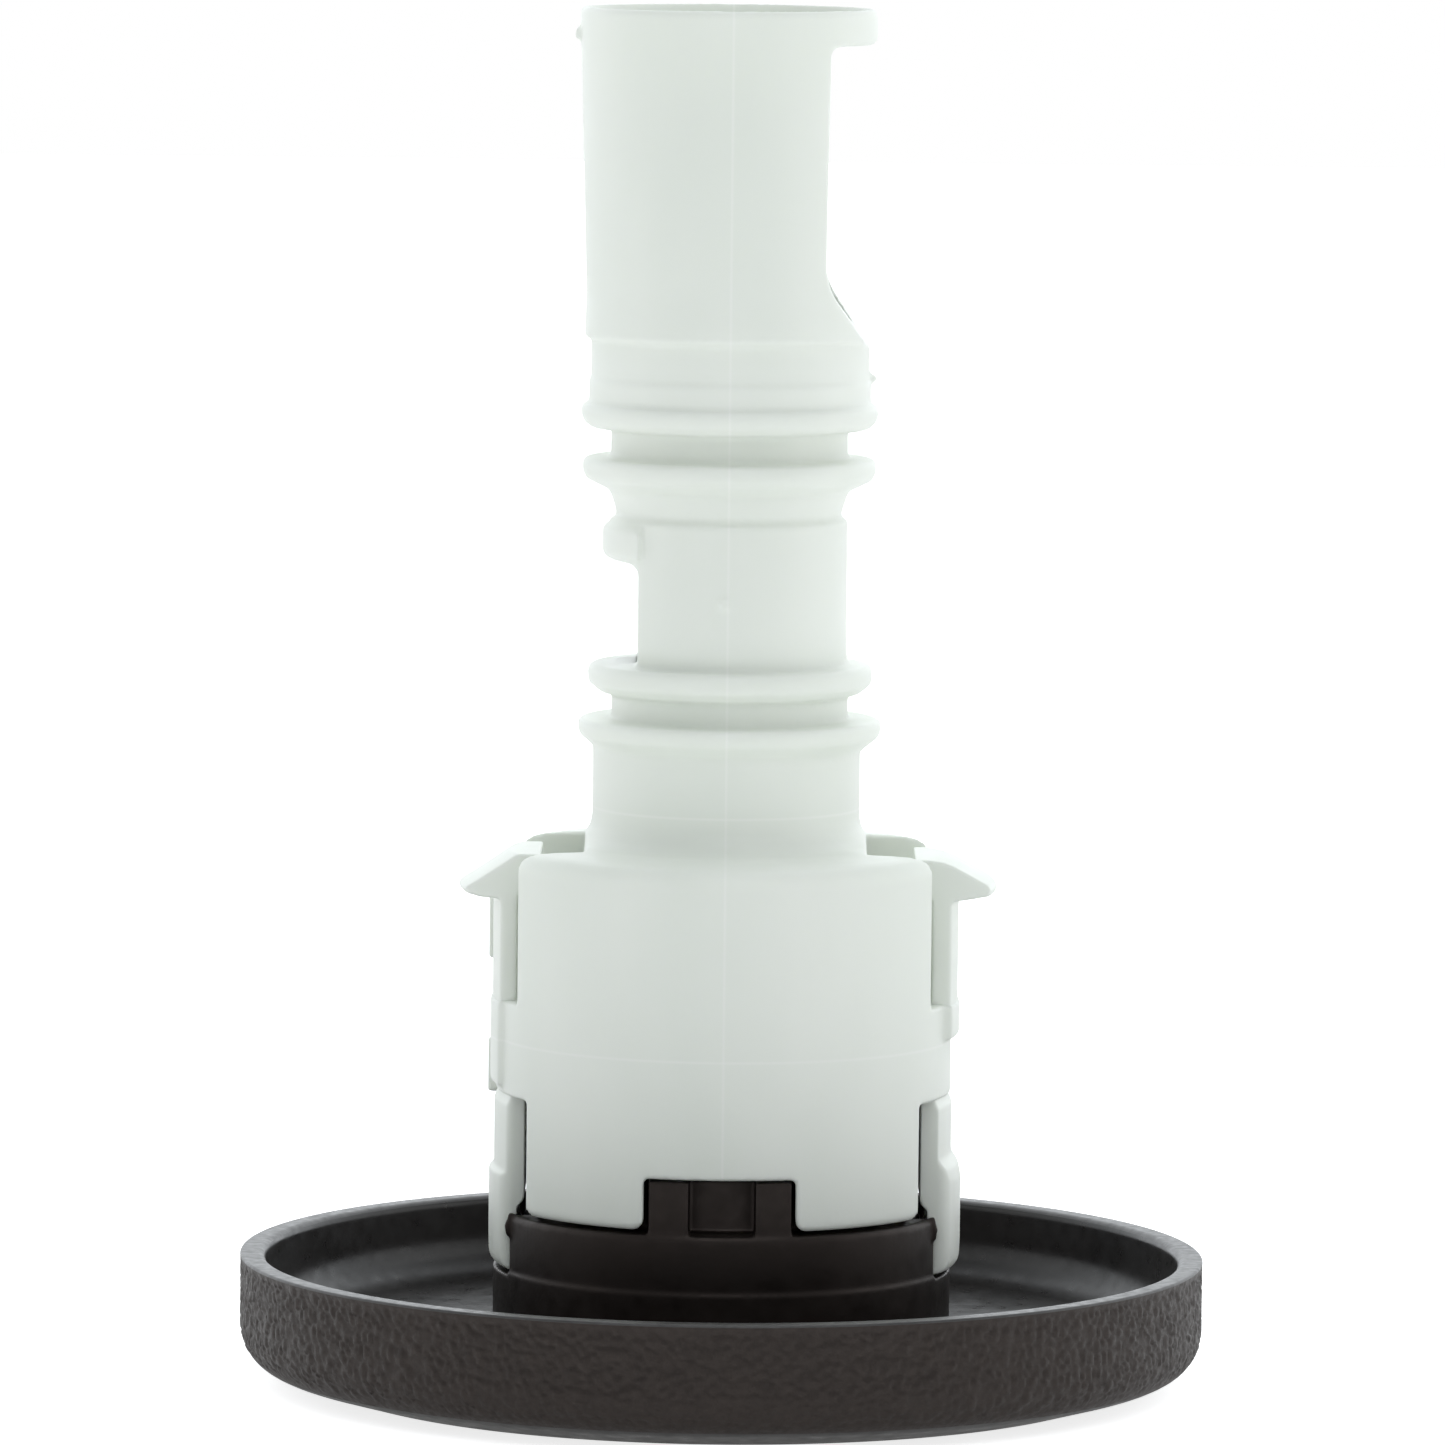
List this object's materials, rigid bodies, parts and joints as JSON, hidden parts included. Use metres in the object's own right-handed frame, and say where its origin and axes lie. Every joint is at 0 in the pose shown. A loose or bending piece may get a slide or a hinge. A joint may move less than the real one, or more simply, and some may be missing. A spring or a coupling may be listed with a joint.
{
  "type": "rotary valve cartridge",
  "caption": "Ported rotary valve stem with seal grooves, barbed latch arms and an inner check valve, snapped onto a round dished knob that turns it.",
  "frame": {"origin": "middle of the knob's underside, which the cartridge stands on", "axes": "+Z along the stem from the knob to the open end of the tube, +X towards the large outlet port, -Y is the front with the drive ribs"},
  "size_m": [0.099, 0.099, 0.1413],
  "materials": {
    "black_plastic": "moulded, leather grain on the rim's outside, satin inside",
    "black_gloss_plastic": "smooth, lightly polished",
    "white_plastic": "satin moulded, slightly translucent",
    "black_rubber": "matte",
    "stainless_steel": "bright drawn wire and rolled screws"
  },
  "bodies": {
    "knob": {"knob_dish": "black_plastic", "knob_hub": "black_plastic", "face_insert": "black_gloss_plastic", "hub_screw_1": "stainless_steel", "hub_screw_2": "stainless_steel", "hub_screw_3": "stainless_steel"},
    "stem": {"valve_stem": "white_plastic", "bore_plug": "white_plastic", "plug_o_ring": "black_rubber", "seat_gasket": "black_rubber", "seat_ring": "white_plastic", "spring_guide": "white_plastic", "guide_snap_ring": "white_plastic"},
    "check": {"check_poppet": "white_plastic", "poppet_seal": "black_rubber", "check_spring": "stainless_steel"},
    "latch_left": {"latch_arm_left": "white_plastic"},
    "latch_right": {"latch_arm_right": "white_plastic"},
    "clip_left": {"clip_arm_left": "white_plastic"},
    "clip_right": {"clip_arm_right": "white_plastic"}
  },
  "joints": [
    {"name": "stem_release", "type": "slide", "parent": "knob", "child": "stem", "axis": [0, 0, 1], "range_m": [0, 0.003]},
    {"name": "check_lift", "type": "slide", "parent": "stem", "child": "check", "axis": [0, 0, 1], "range_m": [0, 0.0035], "stiffness_N_per_m": 120, "springref_m": -0.002, "deforming": ["check_spring"]},
    {"name": "latch_left_flex", "type": "hinge", "parent": "stem", "child": "latch_left", "pos_m": [-0.0217, 0, 0.0403], "axis": [0, 1, 0], "range_deg": [0, 16], "stiffness_Nm_per_rad": 0.35},
    {"name": "latch_right_flex", "type": "hinge", "parent": "stem", "child": "latch_right", "pos_m": [0.0217, 0, 0.0403], "axis": [0, -1, 0], "range_deg": [0, 16], "stiffness_Nm_per_rad": 0.35},
    {"name": "clip_left_flex", "type": "hinge", "parent": "stem", "child": "clip_left", "pos_m": [-0.0222, 0, 0.03], "axis": [0, 1, 0], "range_deg": [0, 5.4], "stiffness_Nm_per_rad": 0.5},
    {"name": "clip_right_flex", "type": "hinge", "parent": "stem", "child": "clip_right", "pos_m": [0.0222, 0, 0.03], "axis": [0, -1, 0], "range_deg": [0, 5.4], "stiffness_Nm_per_rad": 0.5}
  ],
  "couplings": [
    {"joint": "clip_left_flex", "follows": "stem_release", "rad_per_m": 31.4},
    {"joint": "clip_right_flex", "follows": "stem_release", "rad_per_m": 31.4}
  ]
}
